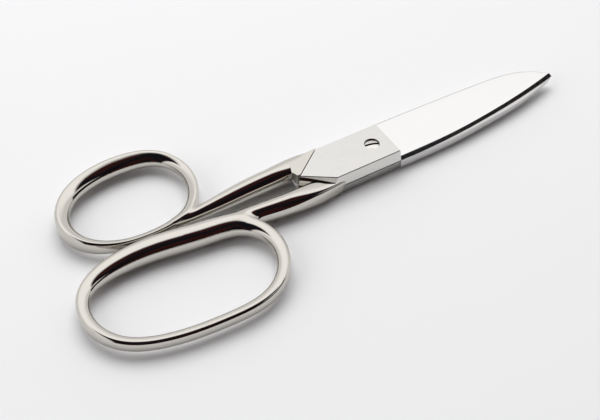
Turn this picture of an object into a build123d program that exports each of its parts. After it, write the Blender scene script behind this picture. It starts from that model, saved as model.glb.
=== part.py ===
"""Dressmaking shears, 203 mm (8 in) long: two forged halves that turn on a slotted pivot screw.

Millimetres. The shears lie closed on the face of their lower joint plate, with +X towards the points, +Z up
and the origin where the pivot axis meets that face. Each half is modelled in a frame of its own, in which
its ground inner face is at z = 0, its blade runs towards +X with its back on the +Y side, and its handle
bends away to -Y. The upper half is lifted from that frame to the joint plane, and the lower half is turned
over about X on the way there, as the two halves of real shears are.
"""

import math
import os

from build123d import *

# Joint plates
plate_thickness = 4.3  # inner face to outer face
plate_half_width = 8.9  # at the inner face
plate_wall_lean = 11.0  # degrees, side walls leaning inwards
plate_front = 6.7  # pivot axis to the step down to the blade
plate_rear = 17.5  # pivot axis to the far rear corner
plate_tail = (-29.7, -0.3)  # where the rear edge runs into the crotch of the handles
slope_set_back = 1.9  # top of the steep slope down to the shank, from the plate's outline
slope_lean = 22.0  # degrees from upright
face_gap = 0.05  # between the two inner faces
rear_gap = 0.3  # between a plate's rear edge and the shoulder it stops against

# Blades. The outlines give shares of the blade's length from its heel and of the plate's half width.
blade_length = 73.9  # heel to point
heel_edge_height = 1.35  # steep bevel at the heel
heel_back_height = 3.5
tip_height = 1.45
bevel_slope = 0.75  # sideways per height
bevel_land = 0.15  # left upright under the bevel
broad_edge = [(0, -1.01), (0.315, -0.92), (0.545, -0.725), (0.762, -0.46), (1, -0.056), (1.1, 0.146)]
broad_back = [(0, 0.99), (0.315, 0.978), (0.613, 0.933), (0.762, 0.854), (0.884, 0.596), (0.958, 0.258),
              (1, -0.056), (1.032, -0.393)]
slim_edge = [(0, -1.01), (0.315, -0.91), (0.545, -0.7), (0.762, -0.405), (0.996, 0.067), (1.1, 0.326)]
slim_back = [(0, 1), (0.315, 0.989), (0.545, 0.831), (0.708, 0.663), (0.857, 0.416), (0.996, 0.067),
             (1.046, -0.1)]

# Pivot screw
shoulder_radius = 2.15  # plain bearing, in the upper half
bearing_clearance = 0.03  # radial
thread_radius = 1.9  # in the lower half, where the end is burred over and ground flush
head_radius = 2.5
head_height = 1.6  # at the rim
head_crown = 0.35  # rise of the domed top
head_sink = 0.45  # rim below the plate's face
head_clearance = 0.25  # radial, in the counterbore
slot_width = 0.9
slot_depth = 1.0
slot_turn = -17.0  # degrees from X

# Handles. Each station gives its share of the way from the shanks' roots to the end of the finger bow,
# then y and width, and the corners of the webs in the crotches are given in the same way without width.
handle_length = 122.0  # pivot axis to the end of the finger bow
root_depth = 2.5  # of a shank inside its plate
finger_bow = [
    (0.682, -1.4, 7.8), (0.831, -2, 6.6), (0.937, -7.2, 5), (0.978, -18.5, 4.5), (0.93, -31, 4.2),
    (0.795, -38.2, 4), (0.617, -40.4, 4), (0.458, -38.4, 4.2), (0.363, -29.5, 4.7),
    (0.34, -17.5, 5.4), (0.387, -8.2, 6.4), (0.523, -3.9, 7.6),
]
thumb_bow = [
    (0.655, -4.7, 3.2), (0.775, -6.9, 3.6), (0.854, -13.4, 4.4), (0.876, -23, 5), (0.819, -34, 5.4),
    (0.71, -39.4, 5.8), (0.588, -40.1, 5.8), (0.488, -36.6, 5), (0.438, -27.6, 4.2),
    (0.445, -17.6, 4.1), (0.505, -8.6, 3.9),
]
finger_shank = [
    (0, -5.4, 6.2), (0.122, -6.8, 7.4), (0.214, -6.7, 7.7), (0.327, -5.4, 7),
    (0.458, -3.9, 6), (0.57, -2.6, 5),
]
thumb_shank = [
    (0, -5.4, 6.2), (0.122, -6.8, 7.4), (0.214, -7, 7.6), (0.327, -6.6, 7),
    (0.458, -5.6, 5.2), (0.57, -5, 3),
]
finger_web = [(0.322, -5), (0.324, -8.6), (0.338, -12.5), (0.393, -10), (0.393, -4)]
thumb_web = [(0.432, -6), (0.442, -10.2), (0.447, -15), (0.477, -13), (0.477, -5)]
web_thickness = 4.4
finger_bow_extra_height = 0.4
thumb_bow_extra_height = 0.8
shank_extra_height = 0.4
shank_sink = 0.7  # middle of a shank towards the other half where it leaves the plate
root_squareness = 5.0  # of a shank's section there
root_flattening = 1.3  # loss of its section's height there
shank_settle = 24.0  # length over which all three are made up
bow_sections = 24
shank_sections = 11
section_points = 16
hole_squareness = 2.5  # exponent of a bow section's side towards the finger hole; 2 is an ellipse
outer_squareness = 2.8  # and of its other side
finger_bow_wedge = 0.1  # share by which the section thickens to its outer side and thins to its hole side
thumb_bow_wedge = 0.28


def along_blade(outline):
    """Points of a blade outline in the half's frame."""
    return [(plate_front + blade_length * share, plate_half_width * side) for share, side in outline]


def along_handle(stations):
    """Points (x, y) or (x, y, width) of a handle in the half's frame."""
    root = root_depth - plate_rear
    return [(root - (handle_length + root) * share, *rest) for share, *rest in stations]


def section(station, direction, extra_height, left_squareness, right_squareness, lift, wedge):
    """Face across a handle: a closed curve with its own squareness on each side of the middle."""
    width = station.Z
    plane = Plane(
        origin=(station.X, station.Y, lift),
        x_dir=(direction.Y, -direction.X, 0),
        z_dir=(direction.X, direction.Y, 0),
    )
    points = []
    for step in range(section_points):
        turn = 2 * math.pi * step / section_points
        power = 2 / (right_squareness if math.cos(turn) > 0 else left_squareness)
        across = math.copysign(abs(math.cos(turn)) ** power, math.cos(turn))
        up = math.copysign(abs(math.sin(turn)) ** power, math.sin(turn)) * (1 + wedge * across)
        points.append((width / 2 * across, (width + extra_height) / 2 * up))
    with BuildSketch(plane) as outline:
        with BuildLine():
            Spline(*points, periodic=True)
        make_face()
    return outline.sketch


def bow(stations, extra_height, wedge):
    """Closed ring through the stations, made as two lofts that share their end sections."""
    path = Spline(*along_handle(stations), periodic=True)
    faces = []
    for step in range(bow_sections):
        place = step / bow_sections
        faces.append(section(path.position_at(place), path.tangent_at(place), extra_height,
                             hole_squareness, outer_squareness, 0, wedge))
    half_way = bow_sections // 2
    with BuildPart() as ring:
        loft(faces[: half_way + 1])
        loft(faces[half_way:] + faces[:1])
    return ring.part


def shank(stations, extra_height):
    """Tube from the plate to the bow: squared where it leaves the plate, round by the time it is clear."""
    path = Spline(*along_handle(stations))
    faces = []
    for step in range(shank_sections):
        place = step / (shank_sections - 1)
        station = path.position_at(place)
        gone = min(1, (path.position_at(0).X - station.X) / shank_settle)
        rest = 1 - gone * gone * (3 - 2 * gone)
        squareness = 2 + (root_squareness - 2) * rest
        faces.append(section(station, path.tangent_at(place), extra_height - root_flattening * rest,
                             squareness, squareness, -shank_sink * rest, 0))
    with BuildPart() as tube:
        loft(faces)
    return tube.part


# Plan outlines in a half's own frame
rear_slope = (plate_half_width - plate_tail[1]) / (-plate_rear - plate_tail[0])
slope_start = (plate_tail[0] - 1.9, plate_tail[1] - 1.7)
plate_outline = [
    (plate_front, 12),
    (-plate_rear + (12 - plate_half_width) / rear_slope, 12),
    plate_tail,
    slope_start,
    (slope_start[0] + 14.7, slope_start[1] - 10),
    (plate_front, slope_start[1] - 10),
]
other_outline = [
    (30, -30),
    (-plate_rear + (30 - plate_half_width) / rear_slope - rear_gap, -30),
    (plate_tail[0] - (30 + plate_tail[1]) / rear_slope - rear_gap, 30),
    (30, 30),
]
shoulder_outline = [
    (-plate_rear, -8.7), (-plate_rear, -0.1), (-30.6, -0.1), (-31.6, -2.6), (-30, -6.5), (-22, -8.4),
]


def slope_plane():
    """Plane of the steep slope from the plate's face down to the shank."""
    corner = plate_outline[4]
    outward = Vector(corner[1] - slope_start[1], slope_start[0] - corner[0], 0).normalized()
    lean = math.radians(slope_lean)
    return Plane(
        origin=(slope_start[0] - outward.X * slope_set_back, slope_start[1] - outward.Y * slope_set_back,
                plate_thickness),
        z_dir=(outward.X * math.cos(lean), outward.Y * math.cos(lean), math.sin(lean)),
    )


def blade_face():
    """Plane of the ground outer face, falling from the back to the edge and from the heel to the point."""
    fall = (heel_back_height - heel_edge_height) / (2 * plate_half_width)
    at_axis = heel_edge_height + fall * plate_half_width
    run = (tip_height - at_axis) / blade_length
    return Plane(
        origin=(plate_front, 0, at_axis),
        x_dir=(1 + fall * fall, -run * fall, run),
        z_dir=(-run, -fall, 1),
    )


def edge_side(edge, height, shift):
    """Everything on the cutting side of the edge curve, at one height and moved sideways by shift."""
    with BuildSketch(Plane.XY.offset(height)) as outside:
        with BuildLine():
            Spline(*[(x, y + shift) for x, y in edge])
            Polyline(
                (edge[0][0], edge[0][1] + shift),
                (edge[0][0], -30),
                (edge[-1][0], -30),
                (edge[-1][0], edge[-1][1] + shift),
            )
        make_face()
    return outside.sketch.face()


def forged_half(edge, back, bow_part, shank_part, web_outline):
    """One half in its own frame: plate, blade, shoulder, shank and bow as one body."""
    inner = face_gap / 2
    edge = along_blade(edge)
    back = along_blade(back)
    lean = math.tan(math.radians(plate_wall_lean)) * (plate_thickness - inner)
    with BuildPart() as half:
        # Plate: a bar with leaning side walls, trimmed to its plan outline
        with BuildSketch(Plane.YZ.offset(plate_tail[0] - 5)):
            with BuildLine():
                Polyline(
                    (-plate_half_width, inner),
                    (plate_half_width, inner),
                    (plate_half_width - lean, plate_thickness),
                    (lean - plate_half_width, plate_thickness),
                    close=True,
                )
            make_face()
        extrude(amount=plate_front - plate_tail[0] + 5)
        with BuildSketch():
            with BuildLine():
                Polyline(*plate_outline, close=True)
            make_face()
        extrude(amount=plate_thickness, mode=Mode.INTERSECT)
        split(bisect_by=slope_plane(), keep=Keep.BOTTOM)
        # Shank, and the flat shoulder that the other half's plate stops against
        add(shank_part)
        with BuildSketch(Plane.XY.offset(-plate_thickness + 0.1)):
            with BuildLine():
                Polyline(*shoulder_outline, close=True)
            make_face()
        extrude(amount=plate_thickness)
        # Room for the other half
        with BuildSketch(Plane.XY.offset(-2 * plate_thickness)):
            with BuildLine():
                Polyline(*other_outline, close=True)
            make_face()
        extrude(amount=2 * plate_thickness + inner, mode=Mode.SUBTRACT)
        # Bow, and the web that fills its crotch
        add(bow_part)
        with BuildSketch():
            with BuildLine():
                Polyline(*along_handle(web_outline), close=True)
            make_face()
        extrude(amount=web_thickness / 2, both=True)
        # Blade, ground to its sloping outer face and bevelled along the edge
        with BuildSketch(Plane.XY.offset(inner)):
            with BuildLine():
                Spline(*back)
                Polyline(back[0], (plate_front, -20), (back[-1][0], -20), back[-1])
            make_face()
        extrude(amount=plate_thickness - inner)
        with BuildSketch(blade_face()):
            Rectangle(100, 60, align=(Align.MIN, Align.CENTER))
        extrude(amount=10, dir=(0, 0, 1), mode=Mode.SUBTRACT)
        low = edge_side(edge, 0, 0)
        land = edge_side(edge, bevel_land, 0)
        high = edge_side(edge, plate_thickness + 1, bevel_slope * (plate_thickness + 1 - bevel_land))
        loft([low, land], ruled=True, mode=Mode.SUBTRACT)
        loft([land, high], ruled=True, mode=Mode.SUBTRACT)
    return half.part


upper_shape = forged_half(
    broad_edge, broad_back,
    bow(finger_bow, finger_bow_extra_height, finger_bow_wedge),
    shank(finger_shank, shank_extra_height), finger_web,
)
lower_shape = forged_half(
    slim_edge, slim_back,
    bow(thumb_bow, thumb_bow_extra_height, thumb_bow_wedge),
    shank(thumb_shank, shank_extra_height), thumb_web,
)
top_face = 2 * plate_thickness
head_floor = top_face - head_sink - head_height

with BuildPart() as upper_half:
    add(upper_shape.moved(Location((0, 0, plate_thickness))))
    with BuildSketch():
        Circle(shoulder_radius + bearing_clearance)
    extrude(amount=top_face, mode=Mode.SUBTRACT)
    with BuildSketch(Plane.XY.offset(head_floor)):
        Circle(head_radius + head_clearance)
    extrude(amount=top_face, mode=Mode.SUBTRACT)

with BuildPart() as lower_half:
    add(lower_shape.moved(Location((0, 0, plate_thickness), (180, 0, 0))))
    with BuildSketch():
        Circle(thread_radius)
    extrude(amount=top_face, mode=Mode.SUBTRACT)

with BuildPart() as pivot_screw:
    with BuildSketch(Plane.XZ):
        with BuildLine():
            rim = (head_radius, top_face - head_sink)
            crown = (0, top_face - head_sink + head_crown)
            Polyline(
                crown,
                (0, 0),
                (thread_radius, 0),
                (thread_radius, plate_thickness - face_gap / 2),
                (shoulder_radius, plate_thickness - face_gap / 2),
                (shoulder_radius, head_floor + face_gap),
                (head_radius, head_floor + face_gap),
                rim,
            )
            TangentArc(crown, rim, tangent=(1, 0))
        make_face()
    revolve(axis=Axis.Z)
    with BuildSketch(Plane.XY.offset(top_face - head_sink + head_crown)):
        with Locations(Rotation(0, 0, slot_turn)):
            Rectangle(3 * head_radius, slot_width)
    extrude(amount=-slot_depth, mode=Mode.SUBTRACT)

os.makedirs("parts", exist_ok=True)
for name, piece in [("upper_half", upper_half), ("lower_half", lower_half), ("pivot_screw", pivot_screw)]:
    piece.part.label = name
    export_step(piece.part, "parts/" + name + ".step")
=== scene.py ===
"""Dressmaking shears: two forged halves with bright nickel-plated bows, turning on a slotted screw.

Run by Blender as a script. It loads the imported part's frame, makes a finely finished body for each half
over the same outlines as the part, gives every piece its finish, and sets the table, lights and camera.
"""

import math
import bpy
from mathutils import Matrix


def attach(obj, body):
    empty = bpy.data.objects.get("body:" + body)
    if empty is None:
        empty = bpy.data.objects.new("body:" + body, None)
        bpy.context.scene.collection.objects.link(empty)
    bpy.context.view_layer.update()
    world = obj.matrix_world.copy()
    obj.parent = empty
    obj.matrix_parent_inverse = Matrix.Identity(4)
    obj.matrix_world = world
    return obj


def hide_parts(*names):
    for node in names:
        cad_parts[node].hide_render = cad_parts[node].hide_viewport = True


bl_info = {
    "name": "Dressmaking shears",
    "version": (1, 0, 0),
    "blender": (4, 5, 0),
    "location": "3D View > Sidebar > Shears",
    "description": "Builds a pair of forged, nickel-plated dressmaking shears over its packed frame",
    "category": "Object",
}

import bmesh
import bpy
import numpy as np
from mathutils import Matrix, Vector

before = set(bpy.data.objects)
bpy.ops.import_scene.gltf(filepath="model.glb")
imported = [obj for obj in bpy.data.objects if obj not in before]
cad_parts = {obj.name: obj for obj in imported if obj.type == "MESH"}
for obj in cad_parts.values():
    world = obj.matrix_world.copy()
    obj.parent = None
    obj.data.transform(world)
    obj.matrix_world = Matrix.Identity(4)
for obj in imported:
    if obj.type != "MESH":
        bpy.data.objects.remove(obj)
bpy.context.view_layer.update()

MM = 0.001

# Blade outlines, from heel to point: share of the blade's length and of the plate's half width
BROAD_EDGE = [(0, -1.01), (0.315, -0.92), (0.545, -0.725), (0.762, -0.46), (1, -0.056), (1.1, 0.146)]
BROAD_BACK = [(0, 0.99), (0.315, 0.978), (0.613, 0.933), (0.762, 0.854), (0.884, 0.596), (0.958, 0.258),
              (1, -0.056), (1.032, -0.393)]
SLIM_EDGE = [(0, -1.01), (0.315, -0.91), (0.545, -0.7), (0.762, -0.405), (0.996, 0.067), (1.1, 0.326)]
SLIM_BACK = [(0, 1), (0.315, 0.989), (0.545, 0.831), (0.708, 0.663), (0.857, 0.416), (0.996, 0.067),
             (1.046, -0.1)]

# Bars of the handles: share of the way from the shanks' roots to the finger bow's end, y and width in mm
FINGER_BOW = [
    (0.682, -1.4, 7.8), (0.831, -2, 6.6), (0.937, -7.2, 5), (0.977, -18.5, 4.5), (0.93, -31, 4.2),
    (0.795, -38.2, 4), (0.617, -40.4, 4), (0.458, -38.4, 4.2), (0.363, -29.5, 4.7),
    (0.34, -17.5, 5.4), (0.387, -8.2, 6.4), (0.523, -3.9, 7.6),
]
THUMB_BOW = [
    (0.655, -4.7, 3.2), (0.775, -6.9, 3.6), (0.854, -13.4, 4.4), (0.876, -23, 5), (0.819, -34, 5.4),
    (0.71, -39.4, 5.8), (0.588, -40.1, 5.8), (0.488, -36.6, 5), (0.438, -27.6, 4.2),
    (0.445, -17.6, 4.1), (0.505, -8.6, 3.9),
]
FINGER_SHANK = [
    (0, -5.4, 6.2), (0.122, -6.8, 7.4), (0.214, -6.7, 7.7), (0.327, -5.4, 7), (0.458, -3.9, 6),
    (0.57, -2.6, 5),
]
THUMB_SHANK = [
    (0, -5.4, 6.2), (0.122, -6.8, 7.4), (0.214, -7, 7.6), (0.327, -6.6, 7), (0.458, -5.6, 5.2),
    (0.57, -5, 3),
]
# Height of a bar's section over its width, in mm
FINGER_BOW_EXTRA_HEIGHT = 0.4
THUMB_BOW_EXTRA_HEIGHT = 0.8
SHANK_EXTRA_HEIGHT = 0.4

# Corners of the joint plate and of the shoulder beside it, x and y in mm in a half's own frame
SHOULDER_OUTLINE = [(-17.5, -8.7), (-17.5, -0.1), (-30.6, -0.1), (-31.6, -2.6), (-30, -6.5), (-22, -8.4)]
PLATE_TAIL = (-29.7, -0.3)
SLOPE_START = (-31.6, -2.0)
SLOPE_END = (-16.9, -12.0)

# How finely the bodies are worked out; lengths in mm
TABLE_POINTS = 4000  # along each path and outline
COARSE_STEP = 20  # of those points, in the first look for the nearest one
POINTS_AT_ONCE = 5000  # looked up together, to spare memory
SETTLE_ROUNDS = 4
LONGEST_MOVE = 30  # of the path's points, in one round
TRIAL_STEP = 0.004  # to find the direction in which a distance grows
LEAST_SLOPE = 0.2  # taken where a distance hardly grows
DRAWING_ROUNDS = 4  # in which the handle's skin is drawn onto the blended surface
LONGEST_PULL = 0.4  # of the skin in one round
BOW_RINGS = 400
SHANK_RINGS = 160
BLADE_SECTIONS = 220
CIRCLE_CORNERS = 160
JOIN_DEPTH = 0.6  # by which plate and blade start past the inner face that they are cut back to
THINNEST_BLADE = 0.06  # width at which the point ends
NARROW_BLADE = 3  # width under which the back's facet narrows too
ON_SKIN = 0.02  # nearer than this to the blended surface, a corner counts as on it
SAME_WAY = 0.8  # cosine above which a face follows the blended surface
SAME_FLAT = 0.9999  # cosine above which a face is one of the plate's flats
SHOULDER_STEP = 0.1  # from the shoulder's foot to the other half's outer face, and its overlap at its root
SHARP_ANGLE = math.radians(12)


class ShearsSizes(bpy.types.PropertyGroup):
    """Sizes of the shears"""

    plate_thickness: bpy.props.FloatProperty(
        name="Plate thickness", description="Inner face to outer face of a joint plate",
        default=4.3 * MM, unit="LENGTH", subtype="DISTANCE")
    plate_half_width: bpy.props.FloatProperty(
        name="Plate half width", description="Half of a joint plate's width at its inner face",
        default=8.9 * MM, unit="LENGTH", subtype="DISTANCE")
    plate_wall_lean: bpy.props.FloatProperty(
        name="Wall lean", description="Lean of a joint plate's side walls", default=math.radians(11),
        unit="ROTATION", subtype="ANGLE")
    plate_front: bpy.props.FloatProperty(
        name="Plate front", description="Pivot axis to the step down to the blade",
        default=6.7 * MM, unit="LENGTH", subtype="DISTANCE")
    plate_rear: bpy.props.FloatProperty(
        name="Plate rear", description="Pivot axis to a joint plate's far rear corner",
        default=17.5 * MM, unit="LENGTH", subtype="DISTANCE")
    slope_set_back: bpy.props.FloatProperty(
        name="Slope set back", description="Top of the slope down to the shank, from the plate's outline",
        default=1.9 * MM, unit="LENGTH", subtype="DISTANCE")
    slope_lean: bpy.props.FloatProperty(
        name="Slope lean", description="Lean of that slope from upright", default=math.radians(22),
        unit="ROTATION", subtype="ANGLE")
    crisp_edge: bpy.props.FloatProperty(
        name="Crisp edge", description="Width of the broken edges of the ground plates",
        default=0.28 * MM, unit="LENGTH", subtype="DISTANCE")
    face_gap: bpy.props.FloatProperty(
        name="Face gap", description="Between the halves' inner faces",
        default=0.05 * MM, unit="LENGTH", subtype="DISTANCE")
    rear_gap: bpy.props.FloatProperty(
        name="Rear gap", description="Between a plate's rear edge and the shoulder it stops against",
        default=0.3 * MM, unit="LENGTH", subtype="DISTANCE")
    blade_length: bpy.props.FloatProperty(
        name="Blade length", description="Heel to point",
        default=73.9 * MM, unit="LENGTH", subtype="DISTANCE")
    heel_edge_height: bpy.props.FloatProperty(
        name="Heel edge height", description="Height of the cutting bevel at the heel",
        default=1.35 * MM, unit="LENGTH", subtype="DISTANCE")
    heel_back_height: bpy.props.FloatProperty(
        name="Heel back height", description="Thickness of the blade's back at the heel",
        default=3.5 * MM, unit="LENGTH", subtype="DISTANCE")
    tip_height: bpy.props.FloatProperty(
        name="Tip height", description="Thickness of the blade at its point",
        default=1.45 * MM, unit="LENGTH", subtype="DISTANCE")
    bevel_land: bpy.props.FloatProperty(
        name="Bevel land", description="Left upright under the cutting bevel",
        default=0.15 * MM, unit="LENGTH", subtype="DISTANCE")
    bevel_slope: bpy.props.FloatProperty(
        name="Bevel slope", description="Sideways per height of the cutting bevel", default=0.75)
    back_break: bpy.props.FloatProperty(
        name="Back break", description="Width of the shallow facet along the blade's back",
        default=0.65 * MM, unit="LENGTH", subtype="DISTANCE")
    back_fall: bpy.props.FloatProperty(
        name="Back fall", description="Fall of that facet per width", default=0.3)
    handle_length: bpy.props.FloatProperty(
        name="Handle length", description="Pivot axis to the end of the finger bow",
        default=122 * MM, unit="LENGTH", subtype="DISTANCE")
    root_depth: bpy.props.FloatProperty(
        name="Root depth", description="Length of a shank inside its plate",
        default=2.5 * MM, unit="LENGTH", subtype="DISTANCE")
    shank_sink: bpy.props.FloatProperty(
        name="Shank sink", description="Middle of a shank towards the other half where it leaves the plate",
        default=0.7 * MM, unit="LENGTH", subtype="DISTANCE")
    root_flattening: bpy.props.FloatProperty(
        name="Root flattening", description="Loss of a shank's height where it leaves the plate",
        default=1.3 * MM, unit="LENGTH", subtype="DISTANCE")
    shank_settle: bpy.props.FloatProperty(
        name="Shank settle", description="Length over which a squared shank turns round",
        default=24 * MM, unit="LENGTH", subtype="DISTANCE")
    root_squareness: bpy.props.FloatProperty(
        name="Root squareness", description="Exponent of a shank's section at the plate", default=5)
    hole_squareness: bpy.props.FloatProperty(
        name="Hole squareness", description="Exponent of a bow's section towards the hole", default=2.5)
    outer_squareness: bpy.props.FloatProperty(
        name="Outer squareness", description="Exponent of a bow's section away from the hole", default=2.8)
    finger_wedge: bpy.props.FloatProperty(
        name="Finger bow wedge", description="How much its section thins towards the hole", default=0.1)
    thumb_wedge: bpy.props.FloatProperty(
        name="Thumb bow wedge", description="How much its section thins towards the hole", default=0.28)
    crotch_fillet: bpy.props.FloatProperty(
        name="Crotch fillet", description="Reach of the blend where a bow and its shank run together",
        default=2.6 * MM, unit="LENGTH", subtype="DISTANCE")
    surface_grain: bpy.props.FloatProperty(
        name="Surface grain", description="Mesh spacing of the blended handles",
        default=0.36 * MM, unit="LENGTH", subtype="DISTANCE")
    ring_sides: bpy.props.IntProperty(
        name="Ring sides", description="Corners of each section swept along a bar", default=48, min=8)
    thread_radius: bpy.props.FloatProperty(
        name="Thread radius", description="Of the screw's hole in the lower half",
        default=1.9 * MM, unit="LENGTH", subtype="DISTANCE")
    bore_radius: bpy.props.FloatProperty(
        name="Bore radius", description="Of the plain bearing in the upper half",
        default=2.18 * MM, unit="LENGTH", subtype="DISTANCE")
    pocket_radius: bpy.props.FloatProperty(
        name="Pocket radius", description="Of the counterbore round the screw's head",
        default=2.75 * MM, unit="LENGTH", subtype="DISTANCE")
    pocket_floor: bpy.props.FloatProperty(
        name="Pocket floor", description="Height of the counterbore's floor over the inner face",
        default=2.25 * MM, unit="LENGTH", subtype="DISTANCE")


def colour_property(label, note, code):
    """A colour setting given as a sRGB hex code, kept as the linear values that Blender works with."""
    return bpy.props.FloatVectorProperty(
        name=label, description=note, subtype="COLOR", size=3, min=0, max=1, default=linear(code))


def linear(code):
    """Linear light values of a sRGB hex code."""
    shares = [int(code[i:i + 2], 16) / 255 for i in (1, 3, 5)]
    return tuple(c / 12.92 if c <= 0.04045 else ((c + 0.055) / 1.055) ** 2.4 for c in shares)


class ShearsColours(bpy.types.PropertyGroup):
    """Colours of the shears and of the room they lie in"""

    plate: colour_property("Nickel plate", "Bright plate on the handles", "#CAC6BF")
    ground: colour_property("Ground steel", "Satin joint plates", "#D8D6D3")
    blade: colour_property("Blade steel", "Polished blades", "#DAD9D8")
    screw: colour_property("Screw steel", "Polished screw", "#DAD7D3")
    table: colour_property("Table", "Matt white table top", "#EEEEEF")
    backdrop: colour_property("Backdrop", "White surroundings", "#FFFFFF")
    room: colour_property("Dim room", "The unlit side of the room behind the camera", "#121318")
    panelling: colour_property("Panelling", "Red-brown wood in the dim side of the room", "#3B1A16")


# Curves

def smooth_through(points, closed, count):
    """Points at even chord steps along the cubic spline that runs through the given ones."""
    knots = np.array(points, float)
    if closed:
        knots = np.vstack([knots, knots[:1]])
    spans = np.linalg.norm(np.diff(knots, axis=0), axis=1)
    place = np.concatenate([[0], np.cumsum(spans)])
    last = len(knots) - 1
    system = np.zeros((last + 1, last + 1))
    target = np.zeros(knots.shape)
    slope = np.diff(knots, axis=0) / spans[:, None]
    for i in range(1, last):
        system[i, i - 1:i + 2] = spans[i - 1], 2 * (spans[i - 1] + spans[i]), spans[i]
        target[i] = 6 * (slope[i] - slope[i - 1])
    if closed:
        system[0, 0], system[0, last] = 1, -1
        system[last, 0], system[last, 1] = 2 * spans[0], spans[0]
        system[last, last - 1] = spans[-1]
        system[last, last] += 2 * spans[-1]
        target[last] = 6 * (slope[0] - slope[-1])
    else:
        system[0, 0] = system[last, last] = 1
    bend = np.linalg.solve(system, target)
    at = np.linspace(0, place[-1], count, endpoint=not closed)
    i = np.clip(np.searchsorted(place, at, side="right") - 1, 0, last - 1)
    h = spans[i][:, None]
    a = (place[i + 1] - at)[:, None] / h
    b = (at - place[i])[:, None] / h
    return (a * knots[i] + b * knots[i + 1]
            + ((a ** 3 - a) * bend[i] + (b ** 3 - b) * bend[i + 1]) * h * h / 6)


class Bar:
    """One bar of a handle: a path whose section has its own squareness on each side of the middle."""

    def __init__(self, sizes, stations, extra_height, closed, wedge=0.0):
        self.closed = closed
        self.wedge = wedge
        root = (sizes.root_depth - sizes.plate_rear) / MM
        length = sizes.handle_length / MM + root
        fine = smooth_through([(root - length * share, *rest) for share, *rest in stations], closed,
                              TABLE_POINTS)
        self.width = fine[:, 2]
        self.height = self.width + extra_height
        lift = np.zeros(TABLE_POINTS)
        if closed:
            self.left = np.full(TABLE_POINTS, sizes.hole_squareness)
            self.right = np.full(TABLE_POINTS, sizes.outer_squareness)
        else:
            gone = np.clip((fine[0, 0] - fine[:, 0]) * MM / sizes.shank_settle, 0, 1)
            rest = 1 - gone * gone * (3 - 2 * gone)
            self.left = self.right = 2 + (sizes.root_squareness - 2) * rest
            self.height = self.height - sizes.root_flattening / MM * rest
            lift = -sizes.shank_sink / MM * rest
        self.centre = np.column_stack([fine[:, :2], lift])
        ahead = np.roll(fine[:, :2], -1, 0) - np.roll(fine[:, :2], 1, 0)
        if not closed:
            ahead[0] = fine[1, :2] - fine[0, :2]
            ahead[-1] = fine[-1, :2] - fine[-2, :2]
        chord = np.linalg.norm(ahead, axis=1)
        step = chord / 2
        if not closed:
            step[0] = step[-1] = step[1]
        self.table = np.column_stack([self.centre, ahead / chord[:, None], step, self.width, self.height,
                                      self.left, self.right])

    def rail(self, count):
        """The path as a chain of edges that carries the section's sizes for the sweep."""
        take = np.linspace(0, TABLE_POINTS - 1, count).astype(int)
        if self.closed:
            take = np.linspace(0, TABLE_POINTS, count, endpoint=False).astype(int)
        edges = [(i, i + 1) for i in range(count - 1)]
        if self.closed:
            edges.append((count - 1, 0))
        mesh = bpy.data.meshes.new("rail")
        mesh.from_pydata(self.centre[take].tolist(), edges, [])
        fields = {"width": self.width, "height": self.height,
                  "left_squareness": self.left, "right_squareness": self.right}
        for name, values in fields.items():
            field = mesh.attributes.new(name, "FLOAT", "POINT")
            field.data.foreach_set("value", values[take].astype(np.float32))
        return mesh

    def nearest(self, points):
        """Place in the table that each point lies beside."""
        coarse = np.arange(0, TABLE_POINTS, COARSE_STEP)
        rough = self.centre[coarse, :2]
        place = np.empty(len(points))
        for start in range(0, len(points), POINTS_AT_ONCE):
            batch = slice(start, start + POINTS_AT_ONCE)
            away = points[batch, None, :2] - rough[None]
            place[batch] = coarse[(away ** 2).sum(2).argmin(1)]
        return self.settle(points, place, SETTLE_ROUNDS)

    def settle(self, points, place, rounds):
        """Moves each place along the path until it is square to its point."""
        for _ in range(rounds):
            row = self.row(place)
            here, ahead, step = row[:, :2], row[:, 3:5], row[:, 5]
            move = ((points[:, :2] - here) * ahead).sum(1) / step
            place = place + np.clip(move, -LONGEST_MOVE, LONGEST_MOVE)
            place = place % TABLE_POINTS if self.closed else np.clip(place, 0, TABLE_POINTS - 1)
        return place

    def row(self, place):
        """Centre, direction, step, width, height and squarenesses at fractional places in the table."""
        i = place.astype(int) % TABLE_POINTS
        j = (i + 1) % TABLE_POINTS if self.closed else np.minimum(i + 1, TABLE_POINTS - 1)
        t = (place - np.floor(place))[:, None]
        return self.table[i] * (1 - t) + self.table[j] * t

    def distance(self, points, place):
        """How far, to first order, each point is outside the bar in millimetres; negative inside."""
        place = self.settle(points, place, 1)
        row = self.row(place)
        away = points - row[:, :3]
        across = away[:, 0] * row[:, 4] - away[:, 1] * row[:, 3]
        past = np.abs(away[:, 0] * row[:, 3] + away[:, 1] * row[:, 4])
        power = np.where(across > 0, row[:, 9], row[:, 8])
        half_width, half_height = row[:, 6] / 2, row[:, 7] / 2
        u = np.abs(across) / half_width + 1e-9
        taper = 1 + self.wedge * np.clip(across / half_width, -1, 1)
        v = np.abs(away[:, 2]) / (half_height * taper) + 1e-9
        level = (u ** power + v ** power) ** (1 / power)
        slope = np.hypot((u / level) ** (power - 1) / half_width, (v / level) ** (power - 1) / half_height)
        return np.hypot(np.maximum(level - 1, 0) / slope, past) + np.minimum(level - 1, 0) / slope


def blended(bars, places, points, reach):
    """Distance outside the bars, with the crotches between them filled smoothly."""
    total = bars[0].distance(points, places[0])
    for bar, place in zip(bars[1:], places[1:]):
        other = bar.distance(points, place)
        share = np.maximum(reach - np.abs(total - other), 0) / reach
        total = np.minimum(total, other) - share ** 3 * reach / 6
    return total


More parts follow.
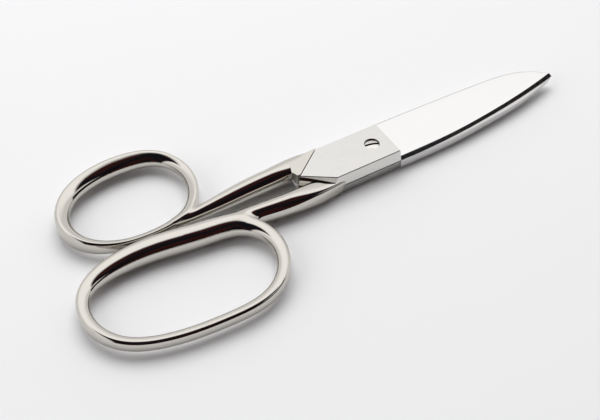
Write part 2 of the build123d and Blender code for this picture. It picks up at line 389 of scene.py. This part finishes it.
def blended_slope(bars, points, reach):
    """The blended distance of each point and the unit direction in which it grows."""
    places = [bar.nearest(points) for bar in bars]
    value = blended(bars, places, points, reach)
    slope = np.zeros(points.shape)
    for axis in range(3):
        step = np.zeros(3)
        step[axis] = TRIAL_STEP
        slope[:, axis] = (blended(bars, places, points + step, reach)
                          - blended(bars, places, points - step, reach)) / (2 * TRIAL_STEP)
    size = np.maximum(np.linalg.norm(slope, axis=1), LEAST_SLOPE)
    return value / size, slope / size[:, None]


# Geometry Nodes

def add_node(tree, kind, links=None, **settings):
    """A node with its settings, and its inputs either linked from other sockets or set to values."""
    node = tree.nodes.new(kind)
    for name, value in settings.items():
        setattr(node, name, value)
    for key, source in (links or {}).items():
        if isinstance(source, bpy.types.NodeSocket):
            tree.links.new(source, node.inputs[key])
        else:
            node.inputs[key].default_value = source
    return node


def sweep_group():
    """Node group that sweeps a two-sided superellipse along a rail of edges."""
    tree = bpy.data.node_groups.new("Handle bar", "GeometryNodeTree")
    for label, socket in (("Rail", "Geometry"), ("Ring sides", "Int"), ("Wedge", "Float"),
                          ("Material", "Material")):
        tree.interface.new_socket(name=label, in_out="INPUT", socket_type="NodeSocket" + socket)
    tree.interface.new_socket(name="Bar", in_out="OUTPUT", socket_type="NodeSocketGeometry")
    given = add_node(tree, "NodeGroupInput").outputs
    rail = add_node(tree, "GeometryNodeMeshToCurve", {"Mesh": given["Rail"]})
    field = {}
    for name in ("width", "height", "left_squareness", "right_squareness"):
        field[name] = add_node(tree, "GeometryNodeInputNamedAttribute", {"Name": name},
                               data_type="FLOAT").outputs["Attribute"]
    position = add_node(tree, "GeometryNodeInputPosition").outputs[0]
    tangent = add_node(tree, "GeometryNodeInputTangent").outputs[0]
    side = add_node(tree, "ShaderNodeVectorMath", {0: tangent, 1: (0, 0, 1)}, operation="CROSS_PRODUCT")
    side = add_node(tree, "ShaderNodeVectorMath", {0: side.outputs[0]}, operation="NORMALIZE")
    kept_rail = add_node(tree, "GeometryNodeCaptureAttribute", {0: rail.outputs[0]})
    kept_rail.capture_items.new("VECTOR", "Centre")
    kept_rail.capture_items.new("VECTOR", "Side")
    tree.links.new(position, kept_rail.inputs["Centre"])
    tree.links.new(side.outputs[0], kept_rail.inputs["Side"])
    ring = add_node(tree, "GeometryNodeCurvePrimitiveCircle",
                    {"Resolution": given["Ring sides"], "Radius": 1.0})
    kept_ring = add_node(tree, "GeometryNodeCaptureAttribute", {0: ring.outputs[0]})
    kept_ring.capture_items.new("VECTOR", "Ring place")
    tree.links.new(position, kept_ring.inputs["Ring place"])
    swept = add_node(tree, "GeometryNodeCurveToMesh", {
        "Curve": kept_rail.outputs[0], "Profile Curve": kept_ring.outputs[0], "Fill Caps": True})
    spot = add_node(tree, "ShaderNodeSeparateXYZ", {0: kept_ring.outputs["Ring place"]})
    maths = "ShaderNodeMath"
    on_right = add_node(tree, maths, {0: spot.outputs[0], 1: 0.0}, operation="GREATER_THAN").outputs[0]
    gain = add_node(tree, maths, {0: field["right_squareness"], 1: field["left_squareness"]},
                    operation="SUBTRACT").outputs[0]
    squareness = add_node(tree, maths, {0: on_right, 1: gain, 2: field["left_squareness"]},
                          operation="MULTIPLY_ADD").outputs[0]
    power = add_node(tree, maths, {0: 2.0, 1: squareness}, operation="DIVIDE").outputs[0]
    share = []
    for part in (spot.outputs[0], spot.outputs[1]):
        size = add_node(tree, maths, {0: part}, operation="ABSOLUTE").outputs[0]
        sign = add_node(tree, maths, {0: part}, operation="SIGN").outputs[0]
        rounded = add_node(tree, maths, {0: size, 1: power}, operation="POWER").outputs[0]
        share.append(add_node(tree, maths, {0: rounded, 1: sign}, operation="MULTIPLY").outputs[0])
    taper = add_node(tree, maths, {0: share[0], 1: given["Wedge"], 2: 1.0},
                     operation="MULTIPLY_ADD").outputs[0]
    half_width = add_node(tree, maths, {0: field["width"], 1: 0.5}, operation="MULTIPLY").outputs[0]
    half_height = add_node(tree, maths, {0: field["height"], 1: 0.5}, operation="MULTIPLY").outputs[0]
    thinned = add_node(tree, maths, {0: half_height, 1: taper}, operation="MULTIPLY").outputs[0]
    sideways = add_node(tree, maths, {0: share[0], 1: half_width}, operation="MULTIPLY").outputs[0]
    upward = add_node(tree, maths, {0: share[1], 1: thinned}, operation="MULTIPLY").outputs[0]
    across = add_node(tree, "ShaderNodeVectorMath", {0: kept_rail.outputs["Side"], "Scale": sideways},
                      operation="SCALE")
    up = add_node(tree, "ShaderNodeCombineXYZ", {2: upward})
    place = add_node(tree, "ShaderNodeVectorMath", {0: kept_rail.outputs["Centre"], 1: across.outputs[0]},
                     operation="ADD")
    place = add_node(tree, "ShaderNodeVectorMath", {0: place.outputs[0], 1: up.outputs[0]}, operation="ADD")
    placed = add_node(tree, "GeometryNodeSetPosition", {0: swept.outputs[0], "Position": place.outputs[0]})
    real = add_node(tree, "GeometryNodeRealizeInstances", {0: placed.outputs[0]})
    finished = add_node(tree, "GeometryNodeSetMaterial", {0: real.outputs[0], "Material": given["Material"]})
    add_node(tree, "NodeGroupOutput", {0: finished.outputs[0]})
    return tree


# Meshes

def show(name, mesh):
    """A new object for the mesh, linked to the scene."""
    piece = bpy.data.objects.new(name, mesh)
    bpy.context.scene.collection.objects.link(piece)
    return piece


def evaluated(piece):
    """The piece's mesh with its modifiers worked in; the piece itself is removed."""
    depsgraph = bpy.context.evaluated_depsgraph_get()
    mesh = bpy.data.meshes.new_from_object(piece.evaluated_get(depsgraph))
    bpy.data.objects.remove(piece)
    return mesh


def swept_bar(bar, sizes, group, material):
    """Closed mesh of one bar."""
    piece = show("bar", bar.rail(BOW_RINGS if bar.closed else SHANK_RINGS))
    modifier = piece.modifiers.new("Handle bar", "NODES")
    modifier.node_group = group
    values = {"Ring sides": sizes.ring_sides, "Wedge": bar.wedge, "Material": material}
    for socket in group.interface.items_tree:
        if socket.name in values:
            modifier[socket.identifier] = values[socket.name]
    return evaluated(piece)


def outward(form):
    """Turns every face of the bmesh outwards."""
    bmesh.ops.recalc_face_normals(form, faces=form.faces)


def blended_handle(bars, sizes, material):
    """One skin over all the bars, drawn onto their blended surface."""
    group = sweep_group()
    form = bmesh.new()
    for bar in bars:
        form.from_mesh(swept_bar(bar, sizes, group, material))
    outward(form)
    mesh = bpy.data.meshes.new("handle")
    form.to_mesh(mesh)
    form.free()
    piece = show("handle", mesh)
    skin = piece.modifiers.new("Skin", "REMESH")
    skin.mode = "VOXEL"
    skin.voxel_size = sizes.surface_grain / MM
    mesh = evaluated(piece)
    points = np.empty(len(mesh.vertices) * 3)
    mesh.vertices.foreach_get("co", points)
    points = points.reshape(-1, 3)
    for _ in range(DRAWING_ROUNDS):
        value, slope = blended_slope(bars, points, sizes.crotch_fillet / MM)
        points = points - slope * np.clip(value, -LONGEST_PULL, LONGEST_PULL)[:, None]
    mesh.vertices.foreach_set("co", points.astype(np.float32).ravel())
    mesh.update()
    mesh.materials.clear()
    mesh.materials.append(material)
    return mesh


def cut_body(corners, planes, material):
    """Convex body: a box trimmed to one side of each plane, given as a point and an outward direction."""
    form = bmesh.new()
    bmesh.ops.create_cube(form, size=1)
    low, high = Vector(corners[0]), Vector(corners[1])
    for vertex in form.verts:
        vertex.co = Vector(high[i] if vertex.co[i] > 0 else low[i] for i in range(3))
    for point, direction in planes:
        cut = bmesh.ops.bisect_plane(
            form, geom=form.verts[:] + form.edges[:] + form.faces[:], dist=1e-6,
            plane_co=point, plane_no=direction, clear_outer=True)
        rim = [e for e in cut["geom_cut"] if isinstance(e, bmesh.types.BMEdge)]
        if rim:
            bmesh.ops.edgenet_fill(form, edges=rim)
    outward(form)
    return as_mesh(form, [material])


def as_mesh(form, materials):
    """Mesh with the bmesh's shape and the materials; the bmesh is freed."""
    mesh = bpy.data.meshes.new("form")
    form.to_mesh(mesh)
    form.free()
    for material in materials:
        mesh.materials.append(material)
    return mesh


def prism(outline, low, high, material):
    """Upright body over a flat outline."""
    form = bmesh.new()
    rings = [[form.verts.new((x, y, z)) for x, y in outline] for z in (low, high)]
    form.faces.new(rings[0])
    form.faces.new(rings[1])
    for i in range(len(outline)):
        j = (i + 1) % len(outline)
        form.faces.new((rings[0][i], rings[0][j], rings[1][j], rings[1][i]))
    outward(form)
    return as_mesh(form, [material])


def circle(radius):
    """Corners of a circle about the pivot axis."""
    turns = [2 * math.pi * i / CIRCLE_CORNERS for i in range(CIRCLE_CORNERS)]
    return [(radius * math.cos(turn), radius * math.sin(turn)) for turn in turns]


def combined(base, tool, operation):
    """Mesh of the base joined with the tool, or cut by it; every face keeps its material."""
    piece = show("base", base)
    other = show("tool", tool)
    step = piece.modifiers.new("Combine", "BOOLEAN")
    step.operation = operation
    step.solver = "EXACT"
    step.material_mode = "TRANSFER"
    step.object = other
    mesh = evaluated(piece)
    bpy.data.objects.remove(other)
    return mesh


def plate_mesh(sizes, ground, plated):
    """Joint plate in the half's own frame: ground flats, with its broken edges and its slope left plated."""
    top = sizes.plate_thickness / MM
    wide = sizes.plate_half_width / MM
    front = sizes.plate_front / MM
    back, tilt = sizes.slope_set_back / MM, sizes.slope_lean
    lean = Vector((0, math.cos(sizes.plate_wall_lean), math.sin(sizes.plate_wall_lean)))
    far_wall = (Vector((0, wide, sizes.face_gap / 2 / MM)), lean)
    near_wall = (Vector((0, -wide, sizes.face_gap / 2 / MM)), Vector((0, -lean.y, lean.z)))
    nose = (Vector((front, 0, 0)), Vector((1, 0, 0)))
    face = (Vector((0, 0, top)), Vector((0, 0, 1)))
    rear_corner = Vector((-sizes.plate_rear / MM, wide, 0))
    tail = Vector((*PLATE_TAIL, 0))
    start = Vector((*SLOPE_START, 0))
    rear = (rear_corner, square_to(tail - rear_corner))
    stub = (tail, square_to(start - tail))
    foot = (start, square_to(Vector((*SLOPE_END, 0)) - start))
    slope = (start - foot[1] * back + Vector((0, 0, top)),
             foot[1] * math.cos(tilt) + face[1] * math.sin(tilt))
    planes = [far_wall, near_wall, nose, face, rear, stub, foot, slope]
    crisp = sizes.crisp_edge / MM
    for wall in (far_wall, near_wall, nose, rear, slope):
        planes.append(broken_edge(wall, face, crisp))
    planes.append(broken_edge(far_wall, rear, crisp))
    inner = (Vector((0, 0, sizes.face_gap / 2 / MM)), Vector((0, 0, -1)))
    planes += [broken_edge(wall, inner, crisp) for wall in (far_wall, near_wall)]
    flats = [way for _, way in (far_wall, near_wall, nose, face, rear, stub, foot, inner)]
    roughed_out = ((PLATE_TAIL[0] - 10, -12, -JOIN_DEPTH), (front + 1, 12, top + 1))
    mesh = cut_body(roughed_out, planes, ground)
    mesh.materials.append(plated)
    for side in mesh.polygons:
        side.material_index = int(max(side.normal.dot(way) for way in flats) < SAME_FLAT)
    return mesh


def square_to(way):
    """Level unit direction a quarter turn clockwise from the given one, seen from above."""
    return Vector((way.y, -way.x, 0)).normalized()


def broken_edge(first, second, width):
    """Plane that breaks the edge between two planes."""
    (point, one), (other_point, two) = first, second
    cosine = one.dot(two)
    high, wide = one.dot(point), two.dot(other_point)
    on_edge = (one * (high - wide * cosine) + two * (wide - high * cosine)) / (1 - cosine * cosine)
    between = (one + two).normalized()
    return on_edge - between * (width / 2 * math.tan(math.acos(cosine) / 2)), between


def blade_mesh(sizes, edge, back, polished, honed):
    """Blade in the half's own frame, from sections across it: land, cutting bevel, ground face and back."""
    front, length = sizes.plate_front / MM, sizes.blade_length / MM
    wide = sizes.plate_half_width / MM
    edge = smooth_through([(front + length * a, wide * b) for a, b in edge], False, TABLE_POINTS)
    back = smooth_through([(front + length * a, wide * b) for a, b in back], False, TABLE_POINTS)
    low = sizes.face_gap / 2 / MM
    land, slope = sizes.bevel_land / MM, sizes.bevel_slope
    fall = (sizes.heel_back_height - sizes.heel_edge_height) / (2 * sizes.plate_half_width)
    at_axis = sizes.heel_edge_height / MM + fall * wide
    run = (sizes.tip_height / MM - at_axis) / length
    towards_point = np.sin(np.linspace(0, np.pi / 2, BLADE_SECTIONS)[1:-1])
    along = np.concatenate([[front - 0.01], front + length * towards_point])
    form = bmesh.new()
    rings = []
    for x in along:
        near, far = np.interp(x, edge[:, 0], edge[:, 1]), np.interp(x, back[:, 0], back[:, 1])
        if far - near < THINNEST_BLADE:
            break
        height = at_axis + run * (x - front)
        crest = (near + slope * (height - land)) / (1 - slope * fall)
        broken = sizes.back_break / MM * min(1, (far - near) / NARROW_BLADE)
        if crest > far - broken:
            crest = min(crest, far - 0.01)
            broken = far - crest
        crest_height = min(height + fall * crest, land + (crest - near) / slope)
        brow = far - broken
        brow_height = crest_height if brow - crest < 1e-6 else height + fall * brow
        section = [(near, low - JOIN_DEPTH), (near, land), (crest, crest_height),
                   (max(brow, crest + 0.002), brow_height),
                   (far, max(brow_height - broken * sizes.back_fall, land)), (far, low - JOIN_DEPTH)]
        rings.append([form.verts.new((x, y, z)) for y, z in section])
    form.faces.new(rings[0])
    form.faces.new(rings[-1])
    for one, two in zip(rings, rings[1:]):
        for i in range(len(one)):
            j = (i + 1) % len(one)
            skin = form.faces.new((one[i], one[j], two[j], two[i]))
            skin.material_index = 1 if i == 1 else 0
    outward(form)
    return as_mesh(form, [polished, honed])


def other_half_room(sizes, material):
    """The space of the other half: everything under the inner face in front of the shoulder."""
    rear = -sizes.plate_rear / MM
    wide = sizes.plate_half_width / MM
    lean = (wide - PLATE_TAIL[1]) / (rear - PLATE_TAIL[0])
    gap = sizes.rear_gap / MM
    past_point = (sizes.plate_front + 1.5 * sizes.blade_length) / MM
    aside = 30
    outline = [(past_point, -aside), (rear + (aside - wide) / lean - gap, -aside),
               (PLATE_TAIL[0] - (aside + PLATE_TAIL[1]) / lean - gap, aside), (past_point, aside)]
    return prism(outline, -2 * sizes.plate_thickness / MM, sizes.face_gap / 2 / MM, material)


def finish_normals(mesh, bars, reach):
    """Smooth shading: exact on the blended handle, and by angle on the ground and flat faces."""
    mesh.polygons.foreach_set("use_smooth", [True] * len(mesh.polygons))
    mesh.set_sharp_from_angle(angle=SHARP_ANGLE)
    points = np.empty(len(mesh.vertices) * 3)
    mesh.vertices.foreach_get("co", points)
    points = points.reshape(-1, 3)
    value, slope = blended_slope(bars, points, reach)
    on_skin = np.abs(value) < ON_SKIN
    normals = np.empty(len(mesh.loops) * 3, np.float32)
    mesh.corner_normals.foreach_get("vector", normals)
    normals = normals.reshape(-1, 3)
    corners = np.empty(len(mesh.loops), int)
    mesh.loops.foreach_get("vertex_index", corners)
    for face in mesh.polygons:
        span = slice(face.loop_start, face.loop_start + face.loop_total)
        if on_skin[corners[span]].all() and slope[corners[face.loop_start]].dot(face.normal) > SAME_WAY:
            normals[span] = slope[corners[span]]
    mesh.normals_split_custom_set(normals.tolist())


def half_mesh(sizes, finishes, edge, back, bow, shank, bored):
    """One half of the shears in its own frame, in millimetres: handle, shoulder, plate and blade.

    The edge and the back are outlines, the bow and the shank are bars, and bored holds the radius and the
    floor's height of each hole about the pivot axis.
    """
    bars = [bow, shank]
    top = sizes.plate_thickness / MM
    handle = blended_handle(bars, sizes, finishes["plate"])
    shoulder = prism(SHOULDER_OUTLINE, SHOULDER_STEP - top, SHOULDER_STEP, finishes["plate"])
    mesh = combined(handle, shoulder, "UNION")
    mesh = combined(mesh, plate_mesh(sizes, finishes["ground"], finishes["plate"]), "UNION")
    mesh = combined(mesh, blade_mesh(sizes, edge, back, finishes["blade"], finishes["honed"]), "UNION")
    mesh = combined(mesh, other_half_room(sizes, finishes["ground"]), "DIFFERENCE")
    for radius, floor in bored:
        drill = prism(circle(radius / MM), floor / MM, 2 * top, finishes["ground"])
        mesh = combined(mesh, drill, "DIFFERENCE")
    finish_normals(mesh, bars, sizes.crotch_fillet / MM)
    return mesh


# Finishes

def metal(name, colour, roughness, stretch, spacing, relief=None):
    """A metal whose roughness moves between two values with a noise, and whose surface may rise with it.

    The noise is drawn out by stretch, and spacing is its real size across that in metres. Relief is how
    far the surface rises and how strongly. A metal is made once, and given out again after that.
    """
    if name in bpy.data.materials:
        return bpy.data.materials[name]
    material = bpy.data.materials.new(name)
    material.use_nodes = True
    tree = material.node_tree
    shader = tree.nodes["Principled BSDF"]
    shader.inputs["Base Color"].default_value = (*colour, 1)
    shader.inputs["Metallic"].default_value = 1
    place = add_node(tree, "ShaderNodeTexCoord").outputs["Object"]
    drawn = add_node(tree, "ShaderNodeVectorMath", {0: place, 1: stretch}, operation="MULTIPLY").outputs[0]
    noise = add_node(tree, "ShaderNodeTexNoise", {"Vector": drawn, "Scale": 1 / spacing, "Detail": 3.0})
    low, high = roughness
    spread = add_node(tree, "ShaderNodeMapRange", {0: noise.outputs[0], 1: 0.3, 2: 0.7, 3: low, 4: high})
    tree.links.new(spread.outputs[0], shader.inputs["Roughness"])
    if relief:
        rise, strength = relief
        bumped = add_node(tree, "ShaderNodeBump",
                          {"Height": noise.outputs[0], "Distance": rise, "Strength": strength})
        tree.links.new(bumped.outputs[0], shader.inputs["Normal"])
    return material


def nickel_plate(colour):
    """Bright plate over polished forged steel: a warm mirror whose reflections waver a little."""
    # The forging's unevenness is about 7 mm across, near the width of the broadest bars
    return metal("bright nickel plate on forged steel", colour, (0.05, 0.1), (1, 1, 1), 7 * MM,
                 relief=(0.03 * MM, 1.0))


def ground_steel(colour):
    """Flat ground steel: a satin sheen, with fine parallel scratches that spread its highlights."""
    # Such scratches are typically about 0.05 mm apart, too fine to show, so they are drawn 0.35 mm apart
    return metal("ground satin steel", colour, (0.26, 0.34), (0.06, 1, 1), 0.35 * MM,
                 relief=(0.002 * MM, 0.6))


def polished_blade(colour):
    """Polished steel blade: a clear mirror, a little hazed by lengthwise polishing marks."""
    # Such marks are typically about 0.02 mm apart; drawn 0.2 mm apart, they only soften what it mirrors
    return metal("polished blade steel", colour, (0.08, 0.14), (0.05, 1, 1), 0.2 * MM)


def honed_bevel(colour):
    """Cutting bevel: steel honed across the edge, finely scratched and a touch duller than the blade."""
    # Such scratches are typically about 0.03 mm apart; drawn 0.3 mm apart, they only soften what it mirrors
    return metal("honed bevel steel", colour, (0.12, 0.18), (1, 0.1, 0.1), 0.3 * MM)


def polished_screw(colour):
    """Turned screw, polished: a bright head, with painted shade down in its slot and round its rim."""
    # The haze on the head is a mottle about 0.3 mm across
    material = metal("polished turned screw steel", colour, (0.12, 0.22), (1, 1, 1), 0.3 * MM)
    tree = material.node_tree
    place = add_node(tree, "ShaderNodeTexCoord").outputs["Object"]
    height = add_node(tree, "ShaderNodeSeparateXYZ", {0: place}).outputs[2]
    # Below the head's top the colour turns dark: painted shade down in the slot and under the rim, darker
    # the deeper it goes
    unshaded_share = add_node(tree, "ShaderNodeMapRange", {0: height, 1: 7.8 * MM, 2: 8.15 * MM}).outputs[0]
    tone = add_node(tree, "ShaderNodeMix", {0: unshaded_share, 6: (*linear("#2B2724"), 1), 7: (*colour, 1)},
                    data_type="RGBA").outputs[2]
    tree.links.new(tone, tree.nodes["Principled BSDF"].inputs["Base Color"])
    return material


# Operators

def finishes_for(colours):
    """The steel finishes that both halves share."""
    return {
        "plate": nickel_plate(colours.plate),
        "ground": ground_steel(colours.ground),
        "blade": polished_blade(colours.blade),
        "honed": honed_bevel(colours.blade),
    }


def place_half(mesh, name, turn, sizes, node, body):
    """Moves a half from its own frame into the row frame, in metres, and ties it to its CAD body."""
    mesh.transform(Matrix.Scale(MM, 4) @ Matrix.Translation((0, 0, sizes.plate_thickness / MM)) @ turn)
    piece = show(name, mesh)
    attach(piece, body)
    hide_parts(node)


class SHEARS_OT_upper_half(bpy.types.Operator):
    """Build the half with the broad blade, the finger bow and the bored, counterbored plate"""

    bl_idname = "shears.upper_half"
    bl_label = "Upper half"

    def execute(self, context):
        sizes, colours = context.scene.shears_sizes, context.scene.shears_colours
        bow = Bar(sizes, FINGER_BOW, FINGER_BOW_EXTRA_HEIGHT, True, sizes.finger_wedge)
        shank = Bar(sizes, FINGER_SHANK, SHANK_EXTRA_HEIGHT, False)
        bored = [(sizes.bore_radius, -5 * MM), (sizes.pocket_radius, sizes.pocket_floor)]
        mesh = half_mesh(sizes, finishes_for(colours), BROAD_EDGE, BROAD_BACK, bow, shank, bored)
        place_half(mesh, "upper_shears_half", Matrix.Identity(4), sizes, "upper_half", "upper")
        return {"FINISHED"}


class SHEARS_OT_lower_half(bpy.types.Operator):
    """Build the half with the slim blade, the thumb bow and the threaded plate, turned face down"""

    bl_idname = "shears.lower_half"
    bl_label = "Lower half"

    def execute(self, context):
        sizes, colours = context.scene.shears_sizes, context.scene.shears_colours
        bow = Bar(sizes, THUMB_BOW, THUMB_BOW_EXTRA_HEIGHT, True, sizes.thumb_wedge)
        shank = Bar(sizes, THUMB_SHANK, SHANK_EXTRA_HEIGHT, False)
        bored = [(sizes.thread_radius, -5 * MM)]
        mesh = half_mesh(sizes, finishes_for(colours), SLIM_EDGE, SLIM_BACK, bow, shank, bored)
        place_half(mesh, "lower_shears_half", Matrix.Rotation(math.pi, 4, "X"), sizes, "lower_half", "lower")
        return {"FINISHED"}


class SHEARS_OT_pivot_screw(bpy.types.Operator):
    """Give the pivot screw its polished finish"""

    bl_idname = "shears.pivot_screw"
    bl_label = "Pivot screw"

    def execute(self, context):
        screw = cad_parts["pivot_screw"]
        screw.data.materials.clear()
        screw.data.materials.append(polished_screw(context.scene.shears_colours.screw))
        return {"FINISHED"}


CAMERA_PLACE = Vector((-0.208995, -0.294833, 0.348182))
CAMERA_AHEAD = Vector((0.3609, 0.5936, -0.7193))
CAMERA_LENS = 84
SENSOR_WIDTH = 36
TABLE_HALF_WIDTH = 3
TABLE_DROP = 0.02 * MM  # keeps the table clear of the face that the shears lie on
LAMP_WIDTH = 0.8
WORLD_STRENGTH = 0.9
# Name, place in metres and power in watts of each soft lamp
LAMPS = (
    ("key light", (0.15, 0.4, 0.82), 5.4),
    ("side light", (-0.9, 0.1, 0.6), 2.0),
)


def room_light(colours):
    """Surroundings: white all round, a dim room behind the camera and a low dark wall at the right."""
    world = bpy.data.worlds.new("white surroundings and dim room")
    bpy.context.scene.world = world
    world.use_nodes = True
    tree = world.node_tree
    way = add_node(tree, "ShaderNodeTexCoord").outputs["Generated"]
    back = Vector((-CAMERA_AHEAD.x, -CAMERA_AHEAD.y, 0)).normalized()
    side = Vector((back.y, -back.x, 0))
    parts = []
    for axis in (back, side, Vector((0, 0, 1))):
        part = add_node(tree, "ShaderNodeVectorMath", {0: way, 1: axis}, operation="DOT_PRODUCT")
        parts.append(part.outputs["Value"])
    tilt = add_node(tree, "ShaderNodeMath", {0: parts[2], 1: parts[0]}, operation="ARCTAN2").outputs[0]
    # Each dark region is where all of its limits hold: a direction's measure, outside and inside
    room_limits = (
        (tilt, math.radians(3), math.radians(8)),
        (tilt, math.radians(112), math.radians(100)),
        (parts[1], 0.66, 0.56),
        (parts[1], -0.84, -0.76),
    )
    wall_limits = (
        (parts[2], 0.02, 0.06),
        (parts[2], 0.46, 0.4),
        (parts[1], -0.35, -0.45),
        (parts[0], -0.35, -0.25),
    )
    regions = []
    for limits in (room_limits, wall_limits):
        region = 1.0
        for value, outside, inside in limits:
            share = add_node(tree, "ShaderNodeMapRange", {0: value, 1: outside, 2: inside},
                             interpolation_type="SMOOTHSTEP").outputs[0]
            region = add_node(tree, "ShaderNodeMath", {0: region, 1: share}, operation="MULTIPLY").outputs[0]
        regions.append(region)
    dim = add_node(tree, "ShaderNodeMath", {0: regions[0], 1: regions[1]}, operation="MAXIMUM").outputs[0]
    patches = add_node(tree, "ShaderNodeTexNoise", {"Vector": way, "Scale": 2.6, "Detail": 1.0}).outputs[0]
    patches = add_node(tree, "ShaderNodeMapRange", {0: patches, 1: 0.5, 2: 0.7}).outputs[0]
    room = add_node(tree, "ShaderNodeMix", {0: patches, 6: (*colours.room, 1), 7: (*colours.panelling, 1)},
                    data_type="RGBA").outputs[2]
    mix = add_node(tree, "ShaderNodeMix", {0: dim, 6: (*colours.backdrop, 1), 7: room}, data_type="RGBA")
    sunny = add_node(tree, "ShaderNodeMapRange", {0: parts[2], 1: 0.5, 2: 0.78, 3: 1.0, 4: 1.5},
                     interpolation_type="SMOOTHSTEP").outputs[0]
    lit = add_node(tree, "ShaderNodeVectorMath", {0: mix.outputs[2], "Scale": sunny}, operation="SCALE")
    tree.links.new(lit.outputs[0], tree.nodes["Background"].inputs["Color"])
    tree.nodes["Background"].inputs["Strength"].default_value = WORLD_STRENGTH


class SHEARS_OT_stage(bpy.types.Operator):
    """Set the table, the surroundings, the soft lights and the camera"""

    bl_idname = "shears.stage"
    bl_label = "Table, lights and camera"

    def execute(self, context):
        colours = context.scene.shears_colours
        form = bmesh.new()
        bmesh.ops.create_grid(form, x_segments=1, y_segments=1, size=TABLE_HALF_WIDTH,
                              matrix=Matrix.Translation((0, 0, -TABLE_DROP)))
        top = bpy.data.materials.new("matt white table top")
        top.use_nodes = True
        shader = top.node_tree.nodes["Principled BSDF"]
        shader.inputs["Base Color"].default_value = (*colours.table, 1)
        shader.inputs["Roughness"].default_value = 0.8
        table = show("table", as_mesh(form, [top]))
        room_light(colours)
        for name, place, power in LAMPS:
            data = bpy.data.lights.new(name, "AREA")
            data.size = LAMP_WIDTH
            data.energy = power
            lamp = bpy.data.objects.new(name, data)
            context.scene.collection.objects.link(lamp)
            lamp.location = place
            lamp.visible_glossy = False
            lamp.rotation_euler = (-Vector(place)).to_track_quat("-Z", "Y").to_euler()
        data = bpy.data.cameras.new("camera")
        data.lens = CAMERA_LENS
        data.sensor_width = SENSOR_WIDTH
        data.clip_start, data.clip_end = 0.01, 20
        camera = bpy.data.objects.new("camera", data)
        context.scene.collection.objects.link(camera)
        camera.location = CAMERA_PLACE
        camera.rotation_euler = CAMERA_AHEAD.to_track_quat("-Z", "Y").to_euler()
        context.scene.camera = camera
        context.scene.view_settings.view_transform = "Standard"
        return {"FINISHED"}


class SHEARS_PT_panel(bpy.types.Panel):
    """The build steps and the settings they use"""

    bl_idname = "SHEARS_PT_panel"
    bl_label = "Shears"
    bl_space_type = "VIEW_3D"
    bl_region_type = "UI"
    bl_category = "Shears"

    def draw(self, context):
        column = self.layout.column()
        for step in STEPS:
            column.operator(step.bl_idname)
        for group in (context.scene.shears_sizes, context.scene.shears_colours):
            for name in group.bl_rna.properties.keys():
                if name not in {"rna_type", "name"}:
                    column.prop(group, name)


STEPS = (SHEARS_OT_upper_half, SHEARS_OT_lower_half, SHEARS_OT_pivot_screw, SHEARS_OT_stage)
CLASSES = (ShearsSizes, ShearsColours, *STEPS, SHEARS_PT_panel)


def register():
    """Adds the settings, the operators and the panel."""
    for kind in CLASSES:
        bpy.utils.register_class(kind)
    bpy.types.Scene.shears_sizes = bpy.props.PointerProperty(type=ShearsSizes)
    bpy.types.Scene.shears_colours = bpy.props.PointerProperty(type=ShearsColours)


def unregister():
    """Takes them away again."""
    del bpy.types.Scene.shears_colours
    del bpy.types.Scene.shears_sizes
    for kind in reversed(CLASSES):
        bpy.utils.unregister_class(kind)


def main():
    """Builds the whole scene."""
    register()
    bpy.ops.shears.upper_half()
    bpy.ops.shears.lower_half()
    bpy.ops.shears.pivot_screw()
    bpy.ops.shears.stage()


if __name__ == "__main__":
    main()
